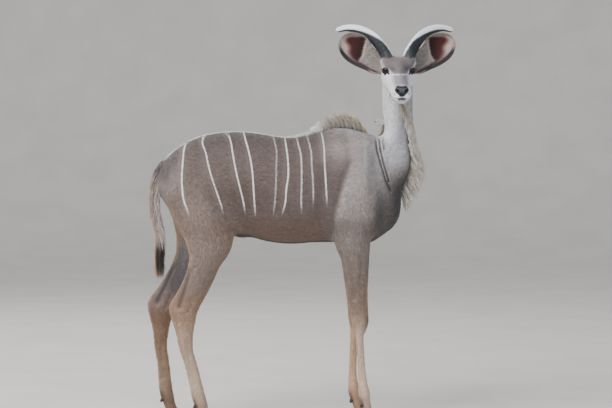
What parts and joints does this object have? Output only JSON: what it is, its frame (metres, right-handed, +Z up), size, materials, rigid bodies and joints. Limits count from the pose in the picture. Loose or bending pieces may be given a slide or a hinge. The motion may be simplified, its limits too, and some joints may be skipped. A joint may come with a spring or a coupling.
{
  "type": "greater kudu",
  "caption": "Life-size standing young greater kudu bull with its head turned to one side, large cupped ears and short first-curve horns.",
  "frame": {"origin": "on the ground, under the middle of the whole animal's bounding box", "axes": "+X the way the body faces, +Y the animal's left, +Z up; the head faces -Y"},
  "size_m": [1.3416, 0.5722, 1.7392],
  "materials": {
    "hide": "short grey-brown coat",
    "long_hair": "long cream and brown hair",
    "ear": "thin, short-haired skin",
    "horn": "ridged, worn pale along the keel",
    "hoof": "dull black horn",
    "eye": "wet"
  },
  "bodies": {
    "root": {"torso": "hide", "neck": "hide", "head": "hide", "foreleg_right_upper": "hide", "foreleg_right_lower": "hide", "foreleg_left_upper": "hide", "foreleg_left_lower": "hide", "hindleg_right_upper": "hide", "hindleg_right_lower": "hide", "hindleg_left_upper": "hide", "hindleg_left_lower": "hide", "foreleg_right_hoof": "hoof", "foreleg_left_hoof": "hoof", "hindleg_right_hoof": "hoof", "hindleg_left_hoof": "hoof", "ear_right": "ear", "ear_left": "ear", "eye_right": "eye", "eye_left": "eye", "horn_right": "horn", "horn_left": "horn", "mane_withers": "long_hair", "mane_neck": "long_hair", "fringe_throat": "long_hair", "tail": "long_hair"}
  },
  "joints": []
}
